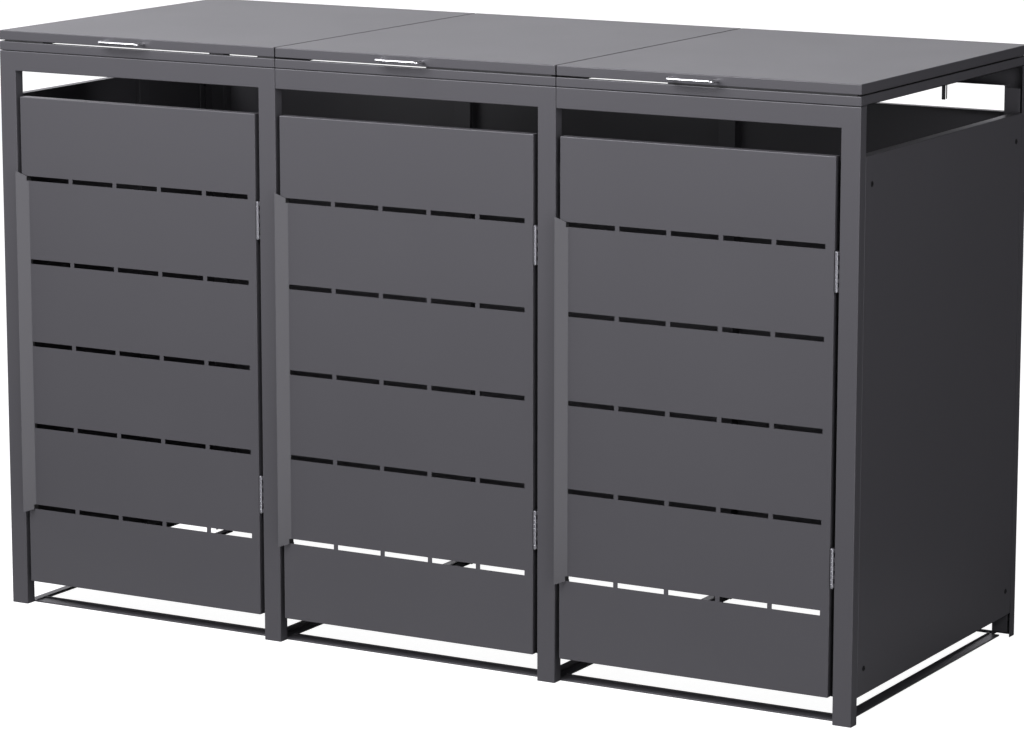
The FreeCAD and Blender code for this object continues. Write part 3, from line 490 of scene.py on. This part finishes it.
# ---------------------------------------------------------------------------
# Doors
# ---------------------------------------------------------------------------
DOOR_W, DOOR_H, DOOR_D, LIP = 590.0, 1048.0, 20.0, 12.0
SLOT_LEN, SLOT_WEB, SLOT_TALL, SLOT_IN, RELIEF = 102.8, 9.5, 10.2, 19.0, 5.0
HALF = SLOT_TALL / 2
ROWS = [928.0 - 52.0 - 177.5 * n for n in range(5)]
for k, side in enumerate(BAYS):
    x0 = k * PITCH + POST_W + 10.0
    to3 = lambda u, v, w, x0=x0: Vector((x0 + u, w, 52.0 + v))
    cuts = []
    for i in range(5):
        a = SLOT_IN + i * (SLOT_LEN + SLOT_WEB)
        cuts += [a, a + SLOT_LEN]
    us = [0.0] + cuts + [DOOR_W]
    low, high = ROWS[4], ROWS[0]
    z_a, z_b = low - 26.0, high + 24.0
    vs = sorted({0.0, DOOR_H, z_a, z_b} | {r + d for r in ROWS for d in (-HALF, HALF)})
    mids = [(a + b) / 2 for a, b in zip(vs, vs[1:])]

    def full(i, j, mids=mids, z_a=z_a, z_b=z_b):
        z = mids[j]
        if i == 0:
            return z < z_a or z > z_b
        return not (i % 2 == 1 and any(abs(z - r) < HALF - 0.1 for r in ROWS))

    def ret(s, i, j, nu=len(us) - 2, nv=len(vs) - 2):
        outer = (s == "L" and i == 0) or (s == "R" and i == nu) or (s == "B" and j == 0) or (s == "T" and j == nv)
        return (DOOR_D, LIP) if outer else (0.0, 0.0)

    skin = Skin()
    tray(skin, us, vs, full, ret, to3)
    # the two ends of the left edge, cut on a slope where the grip is freed; the
    # outer slots run a little past the fold as reliefs
    for z_flat, z_row, way, run in ((z_a, low - HALF, -1, 6.0), (z_b, high + HALF, 1, 4.4)):
        tip, slope = z_row + way * run, run / (SLOT_IN - RELIEF)
        right = [z for z in vs if min(z_flat, z_row) < z < max(z_flat, z_row)]
        right.sort(reverse=z_flat > z_row)
        pts = [(0, z_flat), (SLOT_IN, z_flat)] + [(SLOT_IN, z) for z in right]
        pts += [(SLOT_IN, z_row), (SLOT_IN - RELIEF, z_row), (0, tip)]
        skin.add([to3(u, v, 0) for u, v in pts], Vector((0, -1, 0)))
        skin.add([to3(0, z_flat, 0), to3(0, tip, 0), to3(0, tip, DOOR_D), to3(0, z_flat, DOOR_D)],
                 Vector((-1, 0, 0)))
        skin.add([to3(0, z_flat, DOOR_D), to3(0, tip, DOOR_D), to3(LIP, tip - way * slope * LIP, DOOR_D),
                  to3(LIP, z_flat, DOOR_D)], Vector((0, 1, 0)))
    # the grip: the freed edge bent out by 45 degrees, its ends sloping
    lean = math.sin(math.radians(45))

    def flap(d, z):
        return to3(SLOT_IN - d * lean, z, -d * lean)

    levels = [z for z in vs if low - HALF - 0.1 <= z <= high + HALF + 0.1]
    end_a, end_b = low - 10.5, high + 17.0

    def outer_z(z, a=low - HALF, b=high + HALF, c=end_a, d=end_b):
        return c + (z - a) * (d - c) / (b - a)

    for z0, z1 in zip(levels, levels[1:]):
        if z0 > low and z1 < high:
            skin.add([flap(0, z0), flap(0, z1), flap(RELIEF, z1), flap(RELIEF, z0)], Vector((1, -1, 0)))
        skin.add([flap(RELIEF, z0), flap(RELIEF, z1), flap(28.0, outer_z(z1)), flap(28.0, outer_z(z0))],
                 Vector((1, -1, 0)))
    folded("door_sheet_%s" % side, skin, "door_" + side, ["door_" + side], radius=1.6)
    # a flat stay behind the grip carries the door's inner lip on past the freed edge;
    # it is black as painted shade for the dark notch at the grip's end
    skin = Skin()
    skin.add([to3(1.7, z_a - 22.0, 16.9), to3(LIP, z_a - 22.0, 16.9), to3(LIP, z_b + 22.0, 16.9),
              to3(1.7, z_b + 22.0, 16.9)], Vector((0, -1, 0)))
    folded("shade_door_stay_%s" % side, skin, "door_" + side, mat=RUBBER_AND_SHADE)

# ---------------------------------------------------------------------------
# Lids
# ---------------------------------------------------------------------------
for k, side in enumerate(BAYS):
    lo, hi = bay_lo(k, 3.0), bay_hi(k, 3.0)
    skin = Skin()
    tray(skin, [lo, hi], [0.0, STORE_D], lambda i, j: True, lambda s, i, j: (20.0, 14.0), LID_TOP)
    folded("lid_sheet_%s" % side, skin, "lid_" + side, ["lid_" + side], radius=1.65)


# ---------------------------------------------------------------------------
# Turned and swept small parts
# ---------------------------------------------------------------------------
def smooth_mesh(bm, name, angle=35.0):
    bmesh.ops.remove_doubles(bm, verts=bm.verts, dist=0.0005)
    bmesh.ops.recalc_face_normals(bm, faces=bm.faces)
    for f in bm.faces:
        f.smooth = True
    for e in bm.edges:
        if len(e.link_faces) == 2 and e.calc_face_angle(0.0) > math.radians(angle):
            e.smooth = False
    me = bpy.data.meshes.new(name)
    bm.to_mesh(me)
    bm.free()
    return me


def rings(bm, loops, close_start=True, close_end=True):
    """Joins rings of points of equal count."""
    rows = [[bm.verts.new(p) for p in ring] for ring in loops]
    n = len(rows[0])
    for a, b in zip(rows, rows[1:]):
        for i in range(n):
            bm.faces.new((a[i], a[(i + 1) % n], b[(i + 1) % n], b[i]))
    if close_start:
        bm.faces.new(list(reversed(rows[0])))
    if close_end:
        bm.faces.new(rows[-1])


def turn_axes(axis):
    n = Vector(axis).normalized()
    side = Vector((0, 0, 1)) if abs(n.z) < 0.9 else Vector((1, 0, 0))
    u = side.cross(n).normalized()
    return n, u, n.cross(u)


def hexagon(r_in, angle):
    """Distance to the edge of a hexagon of inner radius r_in."""
    a = (angle + math.pi / 6) % (math.pi / 3) - math.pi / 6
    return r_in / math.cos(a)


def button_bolt(bm, centre, axis, r=6.0, h=3.0, socket=2.2, turn=0.0):
    """Low domed head with a hexagon socket; centre is on the seat, axis points outwards."""
    n, u, v = turn_axes(axis)
    c = Vector(centre)
    count = 48

    def ring(radius, height, hexed=False):
        out = []
        for i in range(count):
            a = 2 * math.pi * i / count
            rr = hexagon(radius, a + turn) if hexed else radius
            out.append(c + n * height + (u * math.cos(a) + v * math.sin(a)) * rr)
        return out

    loops = [ring(r - 0.15, 0.0), ring(r, 0.15), ring(r, 0.55)]
    for i in range(1, 8):
        t = i / 8.0 * math.radians(62)
        loops.append(ring(r * math.cos(t) * 0.985 + 0.08, 0.55 + (h - 0.55) * math.sin(t) / math.sin(math.radians(62))))
    loops += [ring(socket * 1.36, h), ring(socket * 1.17, h - 0.02), ring(socket * 1.03, h - 0.12, True),
              ring(socket, h - 0.3, True), ring(socket, h - 1.2, True), ring(socket * 0.5, h - 1.4), ring(0.05, h - 1.5)]
    rings(bm, loops)


def hex_bolt(bm, centre, axis, flat=10.0, h=4.4, washer=8.4, turn=0.3):
    """Hexagon head with a chamfer on a flat washer."""
    n, u, v = turn_axes(axis)
    c = Vector(centre)
    count = 48

    def ring(radius, height, hexed=False, cap=None):
        out = []
        for i in range(count):
            a = 2 * math.pi * i / count
            rr = hexagon(radius, a + turn) if hexed else radius
            if cap is not None:
                rr = min(rr, cap)
            out.append(c + n * height + (u * math.cos(a) + v * math.sin(a)) * rr)
        return out

    rings(bm, [ring(washer - 0.2, 0.0), ring(washer, 0.2), ring(washer, 1.0), ring(washer - 0.2, 1.2),
               ring(flat / 2 + 0.4, 1.2), ring(flat / 2, 1.22, True), ring(flat / 2, 1.2 + h - 0.8, True),
               ring(flat / 2, 1.2 + h - 0.25, True, flat / 2 * 1.08), ring(flat / 2 - 0.35, 1.2 + h), ring(0.1, 1.2 + h)])


def rivet(bm, centre, axis, r=2.7, h=1.3, dimple=True):
    """Blind rivet: a low dome with the mark of its drawn mandrel."""
    n, u, v = turn_axes(axis)
    c = Vector(centre)
    count = 32

    def ring(radius, height):
        return [c + n * height + (u * math.cos(2 * math.pi * i / count) + v * math.sin(2 * math.pi * i / count)) * radius
                for i in range(count)]

    loops = [ring(r - 0.08, 0.0), ring(r, 0.1), ring(r, 0.25)]
    for i in range(1, 6):
        t = math.radians(14 * i)
        loops.append(ring(0.9 + (r - 0.9) * math.cos(t), 0.25 + (h - 0.25) * math.sin(t) / math.sin(math.radians(70))))
    if dimple:
        loops += [ring(0.85, h), ring(0.75, h - 0.45), ring(0.05, h - 0.5)]
    else:
        loops += [ring(0.05, h)]
    rings(bm, loops)


def swept(bm, path, r, count=20, ends=True):
    """Round rod along a path that lies in a horizontal plane."""
    loops = []
    n = len(path)
    for i, p in enumerate(path):
        t = (path[min(i + 1, n - 1)] - path[max(i - 1, 0)]).normalized()
        s = Vector((0, 0, 1)).cross(t).normalized()
        w = t.cross(s)
        loops.append([p + (s * math.cos(2 * math.pi * j / count) + w * math.sin(2 * math.pi * j / count)) * r
                      for j in range(count)])
    rings(bm, loops, ends, ends)


# Side panel bolts and the bolts in the feet of the back posts.
bm = bmesh.new()
rng = random.Random(7)
for sx, axis in ((0.0, (-1, 0, 0)), (STORE_W, (1, 0, 0))):
    for y in (POST_D + 29.0, STORE_D - POST_D - 29.0):
        for z in (105.0, 1045.0):
            button_bolt(bm, (sx, y, z), axis, 5.6, 1.7, 2.2, rng.uniform(0, 1))
            inwards = -axis[0]
            tip = sx + inwards * (SHEET + 3.0)
            n, u, v = turn_axes((inwards, 0, 0))
            loops = []
            for rr, hh in ((2.9, 0.0), (2.9, 2.2), (2.5, 2.7), (0.1, 2.75)):
                loops.append([Vector((tip, y, z)) + n * hh + (u * math.cos(2 * math.pi * i / 24)
                              + v * math.sin(2 * math.pi * i / 24)) * rr for i in range(24)])
            rings(bm, loops)
to_piece("panel_bolts", smooth_mesh(bm, "panel_bolts"), DARK_BOLT, "frame", ["side_panel_bolts"])

bm = bmesh.new()
for k in range(4):
    hex_bolt(bm, (k * PITCH + POST_W / 2, STORE_D - SHEET, 34.0), (0, -1, 0), 10.0, 3.8, 8.4, rng.uniform(0, 1))
to_piece("post_foot_bolts", smooth_mesh(bm, "post_foot_bolts", 28), ZINC, "frame", ["foot_bolts"])

# Bow handles.
for k, side in enumerate(BAYS):
    mid = (bay_lo(k, 3.0) + bay_hi(k, 3.0)) / 2 - 25.0
    xl, xr, out, z, r, bend = mid - 46.5, mid + 49.5, -25.0, 1228.0, 3.2, 7.0
    path = [Vector((xl, 0.0, z)), Vector((xl, -6.0, z)), Vector((xl, out + bend, z))]
    for i in range(1, 11):
        a = math.radians(180 + 9 * i)
        path.append(Vector((xl + bend + bend * math.cos(a), out + bend + bend * math.sin(a), z)))
    for i in range(1, 6):
        path.append(Vector((xl + bend + (xr - xl - 2 * bend) * i / 6, out, z)))
    for i in range(0, 11):
        a = math.radians(270 + 9 * i)
        path.append(Vector((xr - bend + bend * math.cos(a), out + bend + bend * math.sin(a), z)))
    path += [Vector((xr, -6.0, z)), Vector((xr, 0.0, z))]
    bm = bmesh.new()
    swept(bm, path, r, 24)
    to_piece("bow_handle_%s" % side, smooth_mesh(bm, "bow_handle", 40), HANDLE_STEEL, "lid_" + side,
             ["lid_handle_" + side])

# Door hinges: the knuckles are curled from the leaves' sheet round a headed pin.
HINGE_LEN, HINGE_N = 77.0, 9


def knuckle_outline():
    """Outer points of a knuckle's section with the matching angles on its bore, for a leaf on the positive side."""
    out = [(math.degrees(a), 3.3 * math.cos(a), 3.3 * math.sin(a)) for a in (math.radians(50 + 10 * i) for i in range(35))]
    out += [(33, 3.6, 2.7), (36, 5.0, 3.7), (39, 5.0, 4.6), (43, 3.8, 4.6), (46, 2.8, 3.4)]
    return out


def hinge_leaf(bm, px, sign, z0, first):
    """A plate against the return and every other knuckle, starting with the first or the second."""
    def put(points, z):
        return [Vector((px + sign * u, y, z)) for u, y in points]

    outline = knuckle_outline()
    outer = [(u, y) for _, u, y in outline]
    inset = [(u * (0.87 if u * u + y * y < 12.5 else 0.985), y * (0.87 if u * u + y * y < 12.5 else 0.985)) for u, y in outer]
    bore = [(2.1 * math.cos(math.radians(a)), 2.1 * math.sin(math.radians(a))) for a, _, _ in outline]
    pitch = HINGE_LEN / HINGE_N
    for i in range(first, HINGE_N, 2):
        a, b = z0 + i * pitch + 0.2, z0 + (i + 1) * pitch - 0.2
        loops = [put(bore, a), put(inset, a), put(outer, a + 0.55), put(outer, b - 0.55), put(inset, b), put(bore, b),
                 put(bore, a)]
        rings(bm, loops, False, False)
    c = 0.25
    flat = lambda d: [(3.8 + d, 4.0 + d), (5.0 - d, 4.0 + d), (5.0 - d, 18.0 - d), (3.8 + d, 18.0 - d)]
    rings(bm, [put(flat(c), z0), put(flat(0), z0 + c), put(flat(0), z0 + HINGE_LEN - c), put(flat(c), z0 + HINGE_LEN)])


frame_leaf, pins = bmesh.new(), bmesh.new()
for k, side in enumerate(BAYS):
    px = (k + 1) * PITCH - 5.0
    door_leaf = bmesh.new()
    for z0 in (270.0, 843.0):
        hinge_leaf(frame_leaf, px, 1, z0, 0)
        hinge_leaf(door_leaf, px, -1, z0, 1)
        loops = []
        for rr, hh in ((0.3, -1.5), (1.5, -1.45), (2.4, -1.1), (2.9, -0.6), (2.9, -0.1), (2.0, 0.0), (2.0, HINGE_LEN),
                       (2.9, HINGE_LEN + 0.1), (2.9, HINGE_LEN + 0.6), (2.4, HINGE_LEN + 1.1), (1.5, HINGE_LEN + 1.45),
                       (0.3, HINGE_LEN + 1.5)):
            loops.append([Vector((px + rr * math.cos(2 * math.pi * i / 28), rr * math.sin(2 * math.pi * i / 28), z0 + hh))
                          for i in range(28)])
        rings(pins, loops)
    to_piece("door_leaf_%s" % side, smooth_mesh(door_leaf, "door_leaf", 30), HINGE_STEEL_Z, "door_" + side,
             ["door_hinge_leaves_" + side])
to_piece("frame_leaves", smooth_mesh(frame_leaf, "frame_leaves", 30), HINGE_STEEL_Z, "frame",
         ["frame_hinge_leaves"])
to_piece("hinge_pins", smooth_mesh(pins, "hinge_pins", 30), HINGE_STEEL_Z, "frame", ["door_hinge_pins"])

# Rivets in the hinge leaves.
frame_rivets = bmesh.new()
back_rivets = bmesh.new()
for k, side in enumerate(BAYS):
    px = (k + 1) * PITCH - 5.0
    door_rivets = bmesh.new()
    for z0 in (270.0, 843.0):
        for f in (0.16, 0.5, 0.84):
            rivet(frame_rivets, (px + 5.0 - 1.2, 11.5, z0 + 77.0 * f), (-1, 0, 0), 2.4, 0.9)
            rivet(door_rivets, (px - 5.0 + 1.2, 11.5, z0 + 77.0 * f), (1, 0, 0), 2.4, 0.9)
    to_piece("door_hinge_rivets_%s" % side, smooth_mesh(door_rivets, "rivets", 50), ZINC, "door_" + side)
    lo, hi = bay_lo(k, 3.0), bay_hi(k, 3.0)
    lid_rivets = bmesh.new()
    for mid in (lo + 150.0, hi - 150.0):
        for f in (-26.0, 0.0, 26.0):
            rivet(back_rivets, (mid + f, STORE_D + 1.2, 1216.5 - 20.0), (0, 1, 0), 2.7, 1.2)
            rivet(lid_rivets, (mid + f, STORE_D + 1.2, 1216.5 + 12.5), (0, 1, 0), 2.7, 1.2)
    to_piece("lid_hinge_rivets_%s" % side, smooth_mesh(lid_rivets, "rivets", 50), ZINC, "lid_" + side)
to_piece("frame_hinge_rivets", smooth_mesh(frame_rivets, "rivets", 50), ZINC, "frame")
to_piece("back_hinge_rivets", smooth_mesh(back_rivets, "rivets", 50), ZINC, "frame")


# ---------------------------------------------------------------------------
# CAD nodes that stay: welded, edges broken, shaded by angle
# ---------------------------------------------------------------------------
def smoothing_group():
    g = bpy.data.node_groups.new("weld_and_smooth", "GeometryNodeTree")
    g.interface.new_socket("Geometry", in_out="INPUT", socket_type="NodeSocketGeometry")
    g.interface.new_socket("Geometry", in_out="OUTPUT", socket_type="NodeSocketGeometry")
    nodes, links = g.nodes, g.links
    gi, go = nodes.new("NodeGroupInput"), nodes.new("NodeGroupOutput")
    weld = nodes.new("GeometryNodeMergeByDistance")
    weld.inputs["Distance"].default_value = 0.00001
    angle = nodes.new("GeometryNodeInputMeshEdgeAngle")
    under = nodes.new("FunctionNodeCompare")
    under.data_type, under.operation = "FLOAT", "LESS_EQUAL"
    under.inputs[1].default_value = math.radians(32)
    by_edge = nodes.new("GeometryNodeSetShadeSmooth")
    by_edge.domain = "EDGE"
    by_face = nodes.new("GeometryNodeSetShadeSmooth")
    by_face.domain = "FACE"
    links.new(gi.outputs[0], weld.inputs["Geometry"])
    links.new(weld.outputs[0], by_face.inputs["Geometry"])
    links.new(by_face.outputs[0], by_edge.inputs["Geometry"])
    links.new(angle.outputs["Unsigned Angle"], under.inputs[0])
    links.new(under.outputs[0], by_edge.inputs["Shade Smooth"])
    links.new(by_edge.outputs[0], go.inputs[0])
    return g


GROUP = smoothing_group()
SLOTS = {s["node"]: s["material_slot"] for s in frame["record"].get("subparts", []) if "material_slot" in s}
EDGE = {"frame_hinge_leaves": 0.18, "back_hinge_leaves": 0.18, "door_hinge_pins": 0.3, "lid_hinge_pins": 0.3,
        "lid_rests": 0.5, "front_floor_strips": 0.4, "back_floor_strips": 0.4, "side_floor_strips": 0.4,
        "cross_floor_strips": 0.4, "strap_hooks": 0.3, "side_panel_strips": 0.8, "side_panel_ribs": 0.6}
for name, ob in frame["nodes"].items():
    if ob.hide_render:
        continue
    mat = BY_SLOT[SLOTS.get(name, "powder_coat")]
    ob.data.materials.clear()
    ob.data.materials.append(mat)
    m = ob.modifiers.new("weld_and_smooth", "NODES")
    m.node_group = GROUP
    width = next((w for n, w in EDGE.items() if name.startswith(n)), 0.18 if "hinge" in name else 0.3)
    m = ob.modifiers.new("edges", "BEVEL")
    m.width = width / 1000.0
    m.segments = 2
    m.limit_method = "ANGLE"
    m.angle_limit = math.radians(40)
    m = ob.modifiers.new("normals", "WEIGHTED_NORMAL")
    m.keep_sharp = True

# ---------------------------------------------------------------------------
# Floor, backdrop and light
# ---------------------------------------------------------------------------
floor_mat = Mat("floor")
grain = floor_mat.noise(3.0, 3.0, 0.5)
floor_mat.put(color=floor_mat.ramp(grain, [(0.3, (0.26, 0.26, 0.26)), (0.7, (0.28, 0.28, 0.28))]),
              rough=floor_mat.span(grain, 0.3, 0.7, 0.7, 0.8), specular=0.0)
floor_mat.bsdf.inputs["Emission Color"].default_value = (1.0, 1.0, 1.0, 1.0)
floor_mat.bsdf.inputs["Emission Strength"].default_value = 0.97
bm = bmesh.new()
bmesh.ops.create_circle(bm, cap_ends=True, segments=96, radius=70.0)
me = bpy.data.meshes.new("floor")
bm.to_mesh(me)
bm.free()
me.materials.append(floor_mat.mat)
floor = bpy.data.objects.new("floor", me)
floor.location = (0, 0, -0.0006)
SCENE.collection.objects.link(floor)
floor.visible_diffuse = False
floor.visible_glossy = False
floor.visible_shadow = False

# A grey sheet under the store, out of the camera's sight, keeps light from coming up through the pale floor.
under_mat = Mat("under")
under_grain = under_mat.noise(5.0, 2.0, 0.5)
under_mat.put(color=under_mat.ramp(under_grain, [(0.3, (0.26, 0.26, 0.26)), (0.7, (0.30, 0.30, 0.30))]),
              rough=under_mat.span(under_grain, 0.3, 0.7, 0.8, 0.9), specular=0.0)
bm = bmesh.new()
bmesh.ops.create_grid(bm, x_segments=12, y_segments=8, size=1.0)
bmesh.ops.scale(bm, vec=(1.35, 0.75, 1.0), verts=bm.verts)
me = bpy.data.meshes.new("under")
bm.to_mesh(me)
bm.free()
me.materials.append(under_mat.mat)
under = bpy.data.objects.new("under", me)
under.location = (0, 0, -0.003)
SCENE.collection.objects.link(under)
under.visible_camera = False

backdrop_mat = bpy.data.materials.new("backdrop")
backdrop_mat.use_nodes = True
t = backdrop_mat.node_tree
t.nodes.clear()
em = t.nodes.new("ShaderNodeEmission")
em.inputs["Color"].default_value = (1.0, 1.0, 1.0, 1.0)
em.inputs["Strength"].default_value = 1.0
to = t.nodes.new("ShaderNodeOutputMaterial")
t.links.new(em.outputs[0], to.inputs[0])
bm = bmesh.new()
bmesh.ops.create_uvsphere(bm, u_segments=64, v_segments=32, radius=69.0)
me = bpy.data.meshes.new("backdrop")
bm.to_mesh(me)
bm.free()
me.materials.append(backdrop_mat)
backdrop = bpy.data.objects.new("backdrop", me)
SCENE.collection.objects.link(backdrop)
backdrop.visible_diffuse = False
backdrop.visible_glossy = False
backdrop.visible_shadow = False
backdrop.visible_transmission = False

# World light: wide soft patches by direction, most of them in front of and
# behind the store's left, few on its right.
world = bpy.data.worlds.new("world")
SCENE.world = world
world.use_nodes = True
t = world.node_tree
t.nodes.clear()
tc = t.nodes.new("ShaderNodeTexCoord")


def w_range(source, a, b, lo, hi):
    n = t.nodes.new("ShaderNodeMapRange")
    n.interpolation_type = "SMOOTHSTEP"
    for i, v in ((1, a), (2, b), (3, lo), (4, hi)):
        n.inputs[i].default_value = v
    t.links.new(source, n.inputs[0])
    return n.outputs[0]


def w_math(op, a, b):
    n = t.nodes.new("ShaderNodeMath")
    n.operation = op
    for i, v in enumerate((a, b)):
        if isinstance(v, (int, float)):
            n.inputs[i].default_value = v
        else:
            t.links.new(v, n.inputs[i])
    return n.outputs[0]


def w_lobe(direction, inner, outer, strength):
    """A soft patch of light around one direction, between two half angles in degrees."""
    n = t.nodes.new("ShaderNodeVectorMath")
    n.operation = "DOT_PRODUCT"
    n.inputs[1].default_value = Vector(direction).normalized()
    t.links.new(tc.outputs["Generated"], n.inputs[0])
    return w_range(n.outputs["Value"], math.cos(math.radians(outer)), math.cos(math.radians(inner)), 0.0, strength)


def heading(azimuth, elevation):
    """Unit direction; azimuth turns from the front towards the right."""
    a, e = math.radians(azimuth), math.radians(elevation)
    return math.sin(a) * math.cos(e), -math.cos(a) * math.cos(e), math.sin(e)


strength = 0.03
for azimuth, elevation, inner, outer, power in (
        (36, 0, 8, 42, 0.39), (45, -38, 8, 42, 0.61), (216, 0, 8, 42, 1.34), (225, -38, 8, 42, 0.18),
        (252, 0, 8, 42, 1.86), (270, 38, 8, 42, 0.28), (315, 38, 8, 42, 2.45), (59.5, -9.2, 6, 26, 3.00)):
    strength = w_math("ADD", w_lobe(heading(azimuth, elevation), inner, outer, power), strength)
bg = t.nodes.new("ShaderNodeBackground")
bg.inputs["Color"].default_value = (0.985, 0.975, 1.03, 1.0)
t.links.new(strength, bg.inputs["Strength"])
wo = t.nodes.new("ShaderNodeOutputWorld")
t.links.new(bg.outputs[0], wo.inputs[0])


def area(name, loc, target, size, power, color=(0.985, 0.975, 1.03)):
    d = bpy.data.lights.new(name, "AREA")
    d.shape = "RECTANGLE"
    d.size, d.size_y = size
    d.energy = power
    d.color = color
    o = bpy.data.objects.new(name, d)
    o.location = loc
    o.rotation_euler = (Vector(target) - Vector(loc)).to_track_quat("-Z", "Y").to_euler()
    o.visible_camera = False
    SCENE.collection.objects.link(o)
    return o


area("key", (-0.6, -2.6, 2.9), (-0.2, 0.0, 1.0), (3.6, 1.2), 183.5)
area("right", (2.8, -1.6, 2.2), (0.6, 0.0, 0.9), (1.2, 1.2), 35.0)
for i, (x, power) in enumerate(((-0.65, 0.27), (0.0, 0.13), (0.50, 0.11))):
    area("inside_%d" % i, (x, -0.05, 1.02), (x - 0.05, 0.40, 1.10), (0.5, 0.12), power)
